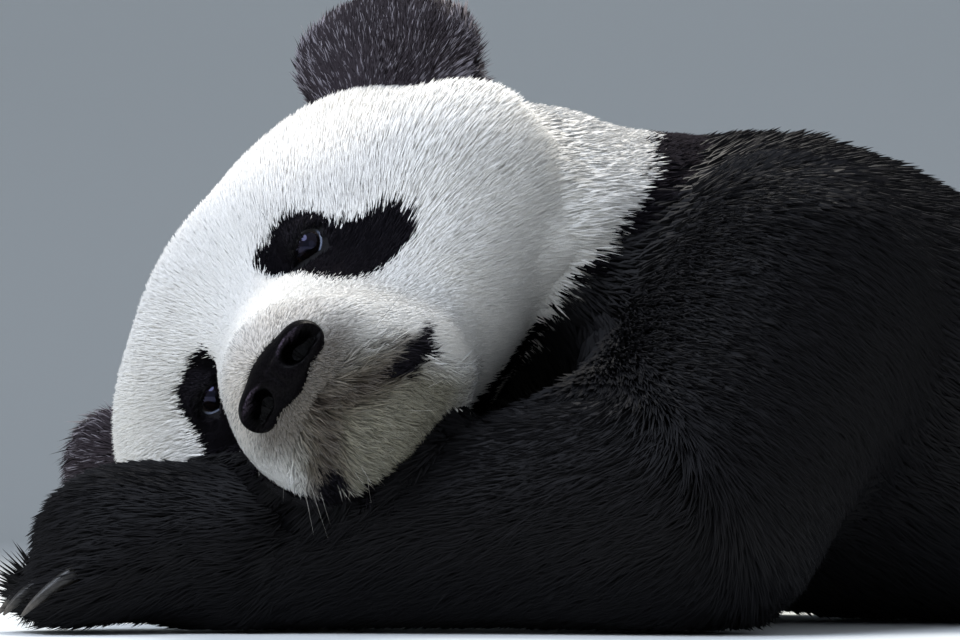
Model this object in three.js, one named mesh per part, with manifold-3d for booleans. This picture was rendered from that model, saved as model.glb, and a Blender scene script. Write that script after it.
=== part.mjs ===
// A life-size giant panda that lies on its front, its head turned to its left and laid on its right
// cheek over the left forearm. Millimetres, +Z up. The head is towards -X, the tail towards +X, and the
// face looks along -Y. Every surface is the outside of the coat, out to the tips of the hair.
//
// Each part of the body is a smooth blend of a few rounded forms. A ball of triangles is wrapped onto
// the blend, parted from the next part by a flat cut, and pressed in where another part lies on it.
import * as THREE from 'three';
import { mergeVertices } from 'three/addons/utils/BufferGeometryUtils.js';
import Module from 'manifold-3d';

const wasm = await Module();
wasm.setup();
const { Manifold, Mesh: Triangles } = wasm;

const vec = (x, y, z) => new THREE.Vector3(x, y, z);
const rad = THREE.MathUtils.degToRad;

// ---- Driving sizes --------------------------------------------------------------------------------
const SEAM = 0.6; // clearance between neighbouring parts
const FAR = 3000; // longer than the whole animal
const OVERRUN = 18; // how far a part is wrapped past the cut that ends it
const DETAIL = { head: 6, body: 3, small: 2, eye: 1 }; // fineness of each ball of triangles

// The head's place and lean.
const EYE_LINE = vec(-123.6, 0, 171); // midway between the eyes
const HEAD_ROLL = 58; // degrees that the head leans over onto its right cheek
const HEAD_YAW = 9; // degrees that the face turns towards the animal's right
const HEAD_NOD = 24; // degrees that the muzzle is raised

// The head's forms, each [to the left, out along the face, towards the crown] from the eye line. Those
// that stand off the middle are made on both sides.
const EYE = { at: [51, -5, 0], radius: 11.5 };
const BRAINCASE = { at: [0, -98, 8], radii: [128, 104, 104] };
const TEMPLE = { at: [64, -104, 30], radii: [84, 78, 72] };
const BROW = { at: [0, -38, 30], radii: [88, 48, 50] };
const CHEEK = { at: [92, -90, -24], radii: [90, 86, 72] };
const JOWL = { at: [52, -52, -62], radii: [62, 52, 42] };
const THROAT = { at: [0, -62, -60], radii: [95, 66, 42] };
const MUZZLE = { root: [0, -10, -52], tip: [0, 56, -70], rootRadius: 66, tipRadius: 40 };
const UPPER_LIP = { at: [22, 46, -82], radii: [30, 34, 24] };
const CHIN = { at: [0, 34, -104], radii: [32, 32, 24] };
const JAW = { at: [30, 4, -96], radii: [36, 44, 31] }; // fills the side of the mouth back to the jowl
const SOCKET = { at: [54, 16, 0], radii: [24, 18, 16] };
const NOSE_PAD = { at: [0, 86, -74], radii: [32, 18, 20] };
const NOSE_BRIDGE = { at: [0, 78, -66], radii: [24, 17, 13] };
const NOSE_BACK = 76; // how far out along the face the pad begins
const EAR = { base: [108, -125, 54], tip: [190, -125, 106], radii: [65, 21, 50], cup: 38, cupRise: 6 };

// The trunk's place. Its forms are [back along the spine, to the left, up] from below the withers.
const WITHERS = vec(150, 165, 0);
const SPINE_SWING = 20; // degrees that the hindquarters swing away from the face
const HIP = 640; // from the withers to the hips
const SHOULDERS = { at: [22, 0, 165], radii: [150, 150, 134] };
const CHEST = { at: [190, 0, 116], radii: [220, 200, 134] };
const BELLY = { at: [420, 0, 128], radii: [240, 244, 146] };
const RUMP = { at: [HIP, 0, 146], radii: [182, 206, 150] };
const TAIL = { at: [HIP + 180, 4, 92], radii: [36, 56, 74], lean: 14 };
const NECK = { from: vec(10, 118, 188), to: vec(115, 165, 142), fromRadius: 124, toRadius: 112 };
const LAST_RIB = 255; // where the black coat ends and the loins begin
const LOIN = HIP - 110; // where the loins end and the rump begins

// The forelegs, by their joints.
const LEFT_ARM = {
  side: 1,
  shoulder: vec(168, 70, 176),
  elbow: vec(112, -38, 72),
  wrist: vec(-112, -16, 45),
  palm: vec(-178, -22, 50),
};
const RIGHT_ARM = {
  side: -1,
  shoulder: vec(104, 256, 170),
  elbow: vec(124, 352, 70),
  wrist: vec(-70, 270, 45),
  palm: vec(-126, 246, 46),
};
const SHOULDER_RADIUS = 100;
const ELBOW_RADIUS = 78;
const FOREARM_RADIUS = 72;
const WRIST_RADIUS = 46;
const ELBOW_SETBACK = 12; // how far down the forearm it is parted from the upper arm

// The hind legs, folded beside the belly: knee forward, heel under the rump, foot flat on the floor.
const THIGH = { at: [HIP - 60, 152, 120], radii: [160, 94, 120] };
const KNEE = { at: [HIP - 180, 205, 94], radius: 62 };
const HEEL = { at: [HIP + 5, 248, 47], radius: 46 };
const SOLE = { at: [HIP - 95, 264, 40], radii: [100, 46, 40] };
const ANKLE = { back: 60, radius: 42 }; // behind the hind paw's palm
const HIND_PALM = [HIP - 188, 266, 40];
const HIND_MIDDLE = [HIP - 130, 264, 36];
const KNEE_CREASE = { at: [HIP - 120, 189, 84], slope: 0.75 }; // parts the thigh from the shank
const ROOT = { arm: 78, thigh: 138, shank: 178 }; // from the spine to each limb's flat inner end
const ROOT_DEPTH = 14; // how far the trunk's swelling stays below a limb's surface

// The paws.
const TOES = 5;
const PALM = [62, 52, 46];
const HIND_SIZE = 0.92; // of a hind paw, to a forepaw
const TOE = { radius: 19, knuckle: 1.15, rise: 8, apart: 17, splay: 0.13, reach: 46, arc: 3 };
const CLAW = { length: 32, radius: 6.5, curl: 70, depth: 8, rise: 6, sides: 3, rings: 2 };

// ---- Rounded forms --------------------------------------------------------------------------------
// Each form is a function that gives how far outside it a point is, negative inside.

function blob(at, radii, turn = new THREE.Quaternion()) {
  const inward = turn.clone().invert();
  return (p) => {
    const q = p.clone().sub(at).applyQuaternion(inward).divide(radii);
    const scaled = q.length();
    const steepness = q.divide(radii).length();
    return scaled < 1e-6 ? -Math.min(...radii.toArray()) : (scaled * (scaled - 1)) / steepness;
  };
}

// A limb between two joints, with the radius of flesh and hair at each.
function taper(from, to, fromRadius, toRadius) {
  const along = to.clone().sub(from);
  return (p) => {
    const q = p.clone().sub(from);
    const t = THREE.MathUtils.clamp(q.dot(along) / along.lengthSq(), 0, 1);
    return q.addScaledVector(along, -t).length() - THREE.MathUtils.lerp(fromRadius, toRadius, t);
  };
}

// How much flesh fills the hollow where two surfaces meet, softened over a depth.
function fillet(depth, a, b) {
  const nearness = Math.max(depth - Math.abs(a - b), 0) / depth;
  return (nearness * nearness * depth) / 4;
}

const blend = (depth, ...forms) => (p) =>
  forms.map((form) => form(p)).reduce((a, b) => Math.min(a, b) - fillet(depth, a, b));

const scooped = (depth, body, form) => (p) => {
  const [a, b] = [body(p), -form(p)];
  return Math.max(a, b) + fillet(depth, a, b);
};

const shrunk = (depth, form) => (p) => form(p) + depth;

// ---- Wrapping, cutting and pressing ---------------------------------------------------------------

// A cut is a point on a plane and the direction of what it takes away.
const cutAt = (at, away) => ({ at, away: away.clone().normalize() });
const otherSide = ({ at, away }) => cutAt(at, away.clone().negate());
const floor = cutAt(vec(0, 0, 0), vec(0, 0, -1));

function solid(geometry) {
  geometry.deleteAttribute('normal');
  geometry.deleteAttribute('uv');
  const merged = mergeVertices(geometry, 1e-3);
  return new Manifold(
    new Triangles({
      numProp: 3,
      vertProperties: new Float32Array(merged.attributes.position.array),
      triVerts: new Uint32Array(merged.index.array),
    }),
  );
}

// All that lies beyond a cut.
function beyond({ at, away }, shift) {
  const turn = new THREE.Quaternion().setFromUnitVectors(vec(0, 0, 1), away);
  const box = new THREE.BoxGeometry(FAR, FAR, FAR);
  box.translate(0, 0, FAR / 2 + shift);
  box.applyQuaternion(turn);
  box.translate(at.x, at.y, at.z);
  return solid(box);
}

// The point where a straight line out from the centre leaves a form.
function walkOut(form, centre, way) {
  const closeEnough = 0.02;
  const mostSteps = 160;
  const p = centre.clone();
  for (let step = 0; step < mostSteps; step++) {
    const room = -form(p);
    if (room < closeEnough) break;
    p.addScaledVector(way, room * 0.8);
  }
  return p;
}

// Wraps a ball onto a form. The reach is the rough half-size of the part, so that the triangles are
// spread evenly over it. A part is a body and a mould: the mould is the same body one seam larger all
// round, and is what presses the neighbours.
function wrap(form, centre, reach, detail, cuts = [], turn = new THREE.Quaternion()) {
  const shell = (inset) => {
    const bounded = (p) =>
      Math.max(form(p) + inset, ...cuts.map(({ at, away }) => p.clone().sub(at).dot(away) - OVERRUN));
    const skin = new THREE.IcosahedronGeometry(1, detail);
    const place = skin.attributes.position;
    for (let i = 0; i < place.count; i++) {
      const way = vec(0, 0, 0).fromBufferAttribute(place, i).multiply(reach).applyQuaternion(turn);
      place.setXYZ(i, ...walkOut(bounded, centre, way.normalize()).toArray());
    }
    return cuts.reduce((body, cut) => body.subtract(beyond(cut, SEAM / 2 - inset)), solid(skin));
  };
  return { body: shell(SEAM), mould: shell(0) };
}

// A part once its neighbours have been pressed into it; crumbs beside its largest piece are dropped.
function pressed({ body, mould }, ...neighbours) {
  const rest = neighbours.reduce((left, other) => left.subtract(other.mould), body);
  return { body: rest.decompose().sort((a, b) => b.volume() - a.volume())[0], mould };
}

const bothSides = (make) => [make(1), make(-1)];

// ---- Head -----------------------------------------------------------------------------------------
const headTurn = new THREE.Quaternion().setFromEuler(
  new THREE.Euler(-rad(HEAD_NOD), -rad(HEAD_ROLL), -rad(HEAD_YAW), 'YZX'),
);
const headWay = (left, out, crown) => vec(left, -out, crown).applyQuaternion(headTurn);
const inHead = (left, out, crown) => headWay(left, out, crown).add(EYE_LINE);
const headBlob = ({ at: [left, out, crown], radii }, side = 1) =>
  blob(inHead(side * left, out, crown), vec(...radii), headTurn);

const skull = blend(
  26,
  ...[BRAINCASE, BROW, THROAT].map((form) => headBlob(form)),
  ...[TEMPLE, CHEEK, JOWL, JAW, UPPER_LIP].flatMap((form) => bothSides((side) => headBlob(form, side))),
  taper(inHead(...MUZZLE.root), inHead(...MUZZLE.tip), MUZZLE.rootRadius, MUZZLE.tipRadius),
  headBlob(CHIN),
);
const [leftSocket, rightSocket] = bothSides((side) => headBlob(SOCKET, side));
const face = scooped(8, scooped(8, skull, leftSocket), rightSocket);
const nape = cutAt(vec(20, 100, 165), vec(1, 0.42, 0.1));
const headPart = wrap(face, inHead(0, -60, -22), vec(150, 118, 145), DETAIL.head, [nape, floor], headTurn);

const [leftEye, rightEye] = bothSides((side) => {
  const [left, out, crown] = EYE.at;
  const centre = inHead(side * left, out, crown);
  return wrap(blob(centre, vec(1, 1, 1).multiplyScalar(EYE.radius)), centre, vec(1, 1, 1), DETAIL.eye);
});

const nose = wrap(
  blend(10, headBlob(NOSE_PAD), headBlob(NOSE_BRIDGE)),
  inHead(0, NOSE_BACK + 10, -70),
  vec(33, 20, 22),
  DETAIL.small,
  [cutAt(inHead(0, NOSE_BACK, -70), headWay(0, -1, -0.3))],
  headTurn,
);

// A round ear that stands out and back from the crown, hollowed on the side of the face.
const [leftEar, rightEar] = bothSides((side) => {
  const base = inHead(side * EAR.base[0], EAR.base[1], EAR.base[2]);
  const tip = inHead(side * EAR.tip[0], EAR.tip[1], EAR.tip[2]);
  const radii = vec(...EAR.radii);
  const centre = base.clone().lerp(tip, 0.5);
  const height = tip.clone().sub(base).normalize();
  const width = headWay(side * 0.25, 1, 0.25).cross(height).normalize();
  const front = height.clone().cross(width);
  const axes = new THREE.Matrix4().makeBasis(width, front, height);
  const turn = new THREE.Quaternion().setFromRotationMatrix(axes);
  const hollow = centre.clone().addScaledVector(front, radii.y * 1.7).addScaledVector(height, EAR.cupRise);
  const form = scooped(6, blob(centre, radii, turn), blob(hollow, vec(EAR.cup, radii.y, EAR.cup), turn));
  return wrap(form, centre.clone().addScaledVector(front, -radii.y * 0.3), radii, DETAIL.small, [], turn);
});

// ---- Trunk ----------------------------------------------------------------------------------------
const spine = vec(Math.cos(rad(SPINE_SWING)), Math.sin(rad(SPINE_SWING)), 0);
const trunkLeft = vec(spine.y, -spine.x, 0);
const trunkTurn = new THREE.Quaternion().setFromUnitVectors(vec(1, 0, 0), spine);
const inTrunk = (back, left, up) =>
  WITHERS.clone().addScaledVector(spine, back).addScaledVector(trunkLeft, left).add(vec(0, 0, up));
const trunkBlob = ({ at: [back, left, up], radii }, side = 1) =>
  blob(inTrunk(back, side * left, up), vec(...radii), trunkTurn);

const upperArm = ({ shoulder, elbow }) => taper(shoulder, elbow, SHOULDER_RADIUS, ELBOW_RADIUS);
const torso = blend(
  60,
  taper(NECK.from, NECK.to, NECK.fromRadius, NECK.toRadius),
  ...[SHOULDERS, CHEST, BELLY, RUMP].map((form) => trunkBlob(form)),
);
// The trunk swells towards each limb, just short of the limb's own surface.
const trunk = blend(
  50,
  torso,
  ...[LEFT_ARM, RIGHT_ARM].map((arm) => shrunk(ROOT_DEPTH, upperArm(arm))),
  ...bothSides((side) => shrunk(ROOT_DEPTH, trunkBlob(THIGH, side))),
);

const neckRoot = cutAt(vec(97, 130, 272), vec(1, 0.1, -0.9));
const lastRib = cutAt(inTrunk(LAST_RIB, 0, 0), spine);
const loin = cutAt(inTrunk(LOIN, 0, 0), spine);
// Cuts off what lies nearer the spine than a limb's inner end.
const limbRoot = (side, left) => cutAt(inTrunk(0, side * left, 0), trunkLeft.clone().multiplyScalar(-side));

const neckPart = wrap(trunk, vec(28, 125, 225), vec(80, 130, 80), DETAIL.body, [otherSide(nape), neckRoot]);
const shouldersPart = wrap(
  trunk,
  inTrunk(80, 0, 140),
  vec(190, 190, 150),
  DETAIL.body,
  [otherSide(nape), otherSide(neckRoot), lastRib, floor],
  trunkTurn,
);
const loinsPart = wrap(
  trunk,
  inTrunk((LAST_RIB + LOIN) / 2, 0, 130),
  vec(170, 220, 150),
  DETAIL.body,
  [otherSide(lastRib), loin, floor],
  trunkTurn,
);
const rumpPart = wrap(
  trunk,
  inTrunk(HIP, 0, 140),
  vec(170, 200, 150),
  DETAIL.body,
  [otherSide(loin), floor],
  trunkTurn,
);

// A short flat brush that hangs down against the rump.
const tailTilt = new THREE.Quaternion().setFromAxisAngle(vec(0, 1, 0), -rad(TAIL.lean));
const tailTurn = trunkTurn.clone().multiply(tailTilt);
const tailForm = blob(inTrunk(...TAIL.at), vec(...TAIL.radii), tailTurn);
const tailPart = wrap(tailForm, inTrunk(...TAIL.at), vec(...TAIL.radii), DETAIL.small, [floor], tailTurn);

// ---- Paws -----------------------------------------------------------------------------------------
const flatWay = (from, to) => to.clone().sub(from).setZ(0).normalize();

// Where each toe ends, and which way it points: the toes fan out in front of the palm.
function toesOf(palm, heading, size) {
  const across = vec(-heading.y, heading.x, 0);
  return Array.from({ length: TOES }, (_, i) => {
    const fan = i - (TOES - 1) / 2;
    const way = heading.clone().addScaledVector(across, fan * TOE.splay).normalize();
    const end = palm
      .clone()
      .addScaledVector(way, (TOE.reach - TOE.arc * fan * fan) * size)
      .addScaledVector(across, fan * TOE.apart * size)
      .setZ(TOE.radius * TOE.knuckle * size);
    return { end, way };
  });
}

function pawForm(wrist, palm, wristRadius, size) {
  const heading = flatWay(wrist, palm);
  const turn = new THREE.Quaternion().setFromUnitVectors(vec(1, 0, 0), heading);
  const toes = toesOf(palm, heading, size).map(({ end, way }) => {
    const knuckle = end.clone().addScaledVector(way, -TOE.radius).add(vec(0, 0, TOE.rise));
    return taper(knuckle, end, TOE.radius * TOE.knuckle * size, TOE.radius * size);
  });
  const palmForm = blob(palm, vec(...PALM).multiplyScalar(size), turn);
  const heelForm = taper(wrist, wrist.clone().lerp(palm, 0.3), wristRadius, wristRadius * 0.94);
  return blend(14, blend(30, palmForm, heelForm), blend(7, ...toes));
}

// A claw is a cone, bent down along its length, that is rooted inside the toe.
function claw({ end, way }, size) {
  const length = CLAW.length * size;
  const bend = rad(CLAW.curl) / length;
  const cone = new THREE.ConeGeometry(CLAW.radius * size, length, CLAW.sides, CLAW.rings);
  cone.translate(0, length / 2, 0);
  const root = end.clone().addScaledVector(way, (TOE.radius - CLAW.depth) * size);
  root.z += CLAW.rise * size;
  const across = vec(0, 0, -1).cross(way);
  const place = cone.attributes.position;
  for (let i = 0; i < place.count; i++) {
    const angle = place.getY(i) * bend;
    const radius = 1 / bend + place.getZ(i);
    const p = root
      .clone()
      .addScaledVector(way, Math.sin(angle) * radius)
      .addScaledVector(across, place.getX(i))
      .add(vec(0, 0, Math.cos(angle) * radius - 1 / bend));
    place.setXYZ(i, p.x, p.y, p.z);
  }
  return { body: solid(cone) };
}

const clawsOf = (palm, heading, size) => toesOf(palm, heading, size).map((toe) => claw(toe, size));

// ---- Legs -----------------------------------------------------------------------------------------
const turnAlong = (from, to) =>
  new THREE.Quaternion().setFromUnitVectors(vec(1, 0, 0), to.clone().sub(from).normalize());

function foreleg({ side, shoulder, elbow, wrist, palm }) {
  const forearm = taper(elbow, wrist, FOREARM_RADIUS, WRIST_RADIUS);
  const paw = pawForm(wrist, palm, WRIST_RADIUS, 1);
  const whole = blend(22, upperArm({ shoulder, elbow }), forearm, paw);
  const upWay = shoulder.clone().sub(elbow).normalize();
  const downWay = wrist.clone().sub(elbow).normalize();
  const elbowCut = cutAt(elbow.clone().addScaledVector(downWay, ELBOW_SETBACK), upWay.sub(downWay));
  const wristCut = cutAt(wrist, palm.clone().sub(wrist));
  return {
    upper: wrap(
      whole,
      shoulder.clone().lerp(elbow, 0.45),
      vec(150, 90, 90),
      DETAIL.body,
      [otherSide(elbowCut), limbRoot(side, ROOT.arm), floor],
      turnAlong(shoulder, elbow),
    ),
    forearm: wrap(
      whole,
      elbow.clone().lerp(wrist, 0.5),
      vec(170, 62, 62),
      DETAIL.body,
      [elbowCut, wristCut, floor],
      turnAlong(elbow, wrist),
    ),
    paw: wrap(
      whole,
      palm,
      vec(80, 62, 48),
      DETAIL.body,
      [otherSide(wristCut), floor],
      turnAlong(wrist, palm),
    ),
    claws: clawsOf(palm, flatWay(wrist, palm), 1),
  };
}

function hindleg(side) {
  const place = ([back, left, up]) => inTrunk(back, side * left, up);
  const knee = place(KNEE.at);
  const heel = place(HEEL.at);
  const palm = place(HIND_PALM);
  const ankle = palm.clone().addScaledVector(spine, ANKLE.back);
  const upper = blend(30, trunkBlob(THIGH, side), taper(knee, heel, KNEE.radius, HEEL.radius));
  const foot = blend(20, trunkBlob(SOLE, side), pawForm(ankle, palm, ANKLE.radius, HIND_SIZE));
  const creaseWay = trunkLeft.clone().multiplyScalar(side).add(vec(0, 0, -KNEE_CREASE.slope));
  const crease = cutAt(place(KNEE_CREASE.at), creaseWay);
  return {
    thigh: wrap(
      upper,
      place(THIGH.at),
      vec(158, 84, 118),
      DETAIL.body,
      [crease, limbRoot(side, ROOT.thigh), floor],
      trunkTurn,
    ),
    shank: wrap(
      upper,
      knee.clone().lerp(heel, 0.45),
      vec(130, 62, 62),
      DETAIL.body,
      [otherSide(crease), limbRoot(side, ROOT.shank), floor],
      trunkTurn,
    ),
    foot: wrap(foot, place(HIND_MIDDLE), vec(110, 52, 44), DETAIL.body, [floor], trunkTurn),
    claws: clawsOf(palm, spine.clone().negate(), HIND_SIZE),
  };
}

const leftArm = foreleg(LEFT_ARM);
const rightArm = foreleg(RIGHT_ARM);
const [leftHind, rightHind] = bothSides(hindleg);

// ---- The whole animal -----------------------------------------------------------------------------
const LOOKS = {
  white: { color: 0xe9e4d8, roughness: 0.8, metalness: 0 },
  black: { color: 0x151414, roughness: 0.75, metalness: 0 },
  nose: { color: 0x1b191b, roughness: 0.45, metalness: 0 },
  eye: { color: 0x140d0a, roughness: 0.05, metalness: 0 },
  claw: { color: 0x4a443c, roughness: 0.4, metalness: 0 },
};

const panda = new THREE.Group();

function add(name, look, part, ...neighbours) {
  const mesh = pressed(part, ...neighbours).body.getMesh();
  const skin = new THREE.BufferGeometry();
  skin.setAttribute('position', new THREE.BufferAttribute(new Float32Array(mesh.vertProperties), 3));
  skin.setIndex(new THREE.BufferAttribute(new Uint32Array(mesh.triVerts), 1));
  skin.computeVertexNormals();
  const piece = new THREE.Mesh(skin, new THREE.MeshStandardMaterial(LOOKS[look]));
  piece.name = name;
  panda.add(piece);
}

const hindUppers = [leftHind, rightHind].flatMap(({ thigh, shank }) => [thigh, shank]);
const foreUppers = [leftArm, rightArm].flatMap(({ upper, forearm }) => [upper, forearm]);

add('head', 'white', headPart, leftEye, rightEye, nose, leftArm.paw, leftArm.forearm, rightArm.paw);
add('ear_left', 'black', leftEar, headPart);
add('ear_right', 'black', rightEar, headPart, leftArm.paw, leftArm.forearm);
add('eye_left', 'eye', leftEye);
add('eye_right', 'eye', rightEye);
add('nose', 'nose', nose);
add('neck', 'white', neckPart, ...foreUppers);
add('shoulders', 'black', shouldersPart, ...foreUppers);
add('loins', 'white', loinsPart, ...hindUppers);
add('rump', 'white', rumpPart, ...hindUppers);
add('tail', 'white', tailPart, rumpPart);

for (const [name, arm] of [['foreleg_left', leftArm], ['foreleg_right', rightArm]]) {
  add(`${name}_upper`, 'black', arm.upper, headPart);
  add(`${name}_forearm`, 'black', arm.forearm);
  add(`${name}_paw`, 'black', arm.paw);
  arm.claws.forEach((part, i) => add(`${name}_claw_${i + 1}`, 'claw', part, arm.paw));
}

for (const [name, leg] of [['hindleg_left', leftHind], ['hindleg_right', rightHind]]) {
  add(`${name}_thigh`, 'black', leg.thigh);
  add(`${name}_shank`, 'black', leg.shank);
  add(`${name}_foot`, 'black', leg.foot, leg.shank, leg.thigh, loinsPart);
  leg.claws.forEach((part, i) => add(`${name}_claw_${i + 1}`, 'claw', part, leg.foot, leg.shank));
}

// The origin is on the floor, under the middle of the whole animal.
const bounds = new THREE.Box3().setFromObject(panda);
const middle = bounds.getCenter(vec(0, 0, 0));
panda.position.set(-middle.x, -middle.y, -bounds.min.z);

export default panda;
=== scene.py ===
# A life-size giant panda that lies on its front with its head turned and laid on its left foreleg, as a
# museum would show it. The bare body comes first, then eyes, lids, nose, lips and claws, and the coat is
# laid over it last, region by region, in locks that follow the lie of the hair.
import math

import bmesh
import bpy
import numpy as np
from mathutils import Matrix, Vector
from mathutils.bvhtree import BVHTree


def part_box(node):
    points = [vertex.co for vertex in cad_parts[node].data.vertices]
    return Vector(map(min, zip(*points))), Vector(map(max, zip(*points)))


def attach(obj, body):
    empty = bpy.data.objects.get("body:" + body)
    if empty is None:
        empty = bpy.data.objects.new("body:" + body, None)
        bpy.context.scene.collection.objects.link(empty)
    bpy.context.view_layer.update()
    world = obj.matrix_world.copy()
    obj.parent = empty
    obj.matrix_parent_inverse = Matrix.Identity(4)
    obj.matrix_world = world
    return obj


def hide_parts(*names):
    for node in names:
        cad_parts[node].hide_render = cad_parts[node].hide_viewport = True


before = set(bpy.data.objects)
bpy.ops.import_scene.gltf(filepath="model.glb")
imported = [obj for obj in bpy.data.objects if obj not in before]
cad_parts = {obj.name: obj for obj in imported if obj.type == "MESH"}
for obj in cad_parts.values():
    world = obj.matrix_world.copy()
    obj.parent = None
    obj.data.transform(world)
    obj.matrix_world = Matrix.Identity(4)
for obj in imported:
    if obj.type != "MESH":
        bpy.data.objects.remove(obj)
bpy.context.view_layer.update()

# ---- Camera and studio ------------------------------------------------------------------------------
# The animal lies on a plain pale floor that curves up into a backdrop. The camera looks level at the
# face from just above the floor. One large lamp stands high behind, and wide soft ones fill the front.
# Sizes are in metres, and places are taken from the point between the eyes.


def middle_of(node):
    low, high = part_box(node)
    return np.array((low + high) / 2)


eyes_middle = (middle_of("eye_left") + middle_of("eye_right")) / 2
camera_side, camera_distance, camera_drop = 0.124, 2.0, 0.111
aim_height = 0.002
camera_at = eyes_middle + np.array((camera_side, -camera_distance, -camera_drop))
camera_aim = eyes_middle + np.array((camera_side, 0.0, aim_height))
camera_view_width = 0.5333
camera_sensor = 36

camera = bpy.data.objects.new("camera", bpy.data.cameras.new("camera"))
aim = Vector(camera_aim - camera_at)
camera.location = camera_at
camera.rotation_euler = aim.to_track_quat("-Z", "Y").to_euler()
camera.data.sensor_width = camera_sensor
camera.data.lens = camera_sensor * aim.length / camera_view_width
camera.data.clip_end = 50
bpy.context.collection.objects.link(camera)
bpy.context.scene.camera = camera


def sweep_floor():
    """A floor sheet with a rounded rise at the back."""
    half_width, front, back, bend, height = 16.0, -14.0, 10.5, 2.0, 7.0
    bend_steps = 12
    profile = [(front, 0.0), (back, 0.0)]
    for step in range(1, bend_steps + 1):
        angle = math.radians(90 * step / bend_steps)
        profile.append((back + bend * math.sin(angle), bend * (1 - math.cos(angle))))
    profile.append((back + bend, height))
    corners = [(x, y, z) for y, z in profile for x in (-half_width, half_width)]
    quads = [(2 * i, 2 * i + 1, 2 * i + 3, 2 * i + 2) for i in range(len(profile) - 1)]
    mesh = bpy.data.meshes.new("studio_floor")
    mesh.from_pydata(corners, [], quads)
    mesh.shade_smooth()
    return bpy.data.objects.new("studio_floor", mesh)


def plain_surface(name, colour, roughness):
    """A node material whose shader and node tree the caller goes on to dress."""
    material = bpy.data.materials.new(name)
    material.use_nodes = True
    shader = material.node_tree.nodes["Principled BSDF"]
    shader.inputs["Base Color"].default_value = (*colour, 1)
    shader.inputs["Roughness"].default_value = roughness
    return material, shader


studio_floor = sweep_floor()
paper, _ = plain_surface("studio_paper", (0.70, 0.72, 0.715), 0.9)
studio_floor.data.materials.append(paper)
bpy.context.collection.objects.link(studio_floor)


def lamp(name, place, size, power, colour):
    """A round soft lamp, of a size in metres and a power in watts, turned to the eyes."""
    light = bpy.data.lights.new(name, "AREA")
    light.shape = "DISK"
    light.size = size
    light.energy = power
    light.color = colour
    holder = bpy.data.objects.new(name, light)
    holder.location = eyes_middle + np.array(place)
    holder.rotation_euler = (-Vector(place)).to_track_quat("-Z", "Y").to_euler()
    bpy.context.collection.objects.link(holder)


lamp("lamp_sun", (0.5, 1.2, 2.3), 1.2, 84, (1.0, 0.96, 0.88))
lamp("lamp_sky", (-1.1, -1.6, 2.6), 2.2, 98, (0.77, 0.85, 1.0))
lamp("lamp_front", (1.7, -2.4, 1.0), 2.4, 6, (0.93, 0.96, 1.0))
lamp("lamp_spark", (-1.9, -1.3, 1.05), 0.3, 5, (1.0, 1.0, 1.0))

sky = bpy.data.worlds.new("studio_air")
sky.use_nodes = True
sky.node_tree.nodes["Background"].inputs["Color"].default_value = (0.80, 0.88, 1.0, 1)
sky.node_tree.nodes["Background"].inputs["Strength"].default_value = 0.45
bpy.context.scene.world = sky
bpy.context.scene.view_settings.view_transform = "Standard"

# ---- Head measures ----------------------------------------------------------------------------------
# The head leans over onto its right cheek. Everything on it is measured from the line between the eyes,
# in millimetres to its left, out along the face and up towards the crown.
head_roll, head_yaw, head_nod = -58, -9, -24
head_turn = np.array(
    Matrix.Rotation(math.radians(head_roll), 3, "Y")
    @ Matrix.Rotation(math.radians(head_yaw), 3, "Z")
    @ Matrix.Rotation(math.radians(head_nod), 3, "X")
)
head_axes = np.array((head_turn[:, 0], -head_turn[:, 1], head_turn[:, 2]))
eye_set_back = 5
eye_line = eyes_middle + eye_set_back / 1000 * head_axes[1]


def to_head(points):
    """Places in the row's metres as places in the head's millimetres."""
    return (points - eye_line) @ head_axes.T * 1000


def from_head(local):
    return eye_line + np.asarray(local, float) @ head_axes / 1000


def rise(low, high, value):
    """From 0 at low to 1 at high, eased at both ends."""
    t = np.clip((value - low) / (high - low), 0, 1)
    return t * t * (3 - 2 * t)


def ball(points, at, radii):
    """How far outside a rounded form each point is, negative inside."""
    scaled = (points - at) / radii
    size = np.linalg.norm(scaled, axis=1) + 1e-9
    return size * (size - 1) / np.linalg.norm(scaled / radii, axis=1)


def limb(points, start, end, start_radius, end_radius):
    """How far outside a tapered rod with round ends each point is, negative inside."""
    start, end = np.array(start, float), np.array(end, float)
    along = end - start
    t = np.clip((points - start) @ along / (along @ along), 0, 1)
    return np.linalg.norm(points - start - t[:, None] * along, axis=1) - (
        start_radius + (end_radius - start_radius) * t
    )


def merged(depth, forms):
    """One form out of several, with flesh in the hollows where they meet."""
    whole = forms[0]
    for form in forms[1:]:
        near = np.maximum(depth - np.abs(whole - form), 0) / depth
        whole = np.minimum(whole, form) - near * near * depth / 4
    return whole


def scooped(depth, whole, form):
    """One form with another taken out of it, and a soft edge round the hollow."""
    return -merged(depth, [-whole, form])


# The head's forms are balls, each with its middle and its radii across, out and up.
skull = ((0, -98, 8), (128, 104, 104))
forehead = ((0, -38, 30), (88, 48, 50))
jaw = ((0, -62, -60), (95, 66, 42))
side_forms = (
    # temple, cheek, jaw muscle, upper lip and the side of the muzzle
    ((64, -104, 30), (84, 78, 72)),
    ((92, -90, -24), (90, 86, 72)),
    ((52, -52, -62), (62, 52, 42)),
    ((30, 4, -96), (36, 44, 31)),
    ((22, 46, -82), (30, 34, 24)),
)
chin = ((0, 34, -104), (32, 32, 24))
eye_socket = ((54, 16, 0), (24, 18, 16))


def face_form(local):
    """The outside of the furred head, without ears."""
    mirrored = local * (-1, 1, 1)
    forms = [ball(local, *form) for form in (skull, forehead, jaw)]
    for form in side_forms:
        forms += [ball(local, *form), ball(mirrored, *form)]
    forms.append(limb(local, (0, -10, -52), (0, 56, -70), 66, 40))
    forms.append(ball(local, *chin))
    whole = merged(26, forms)
    for side in (local, mirrored):
        whole = scooped(8, whole, ball(side, *eye_socket))
    return whole


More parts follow.
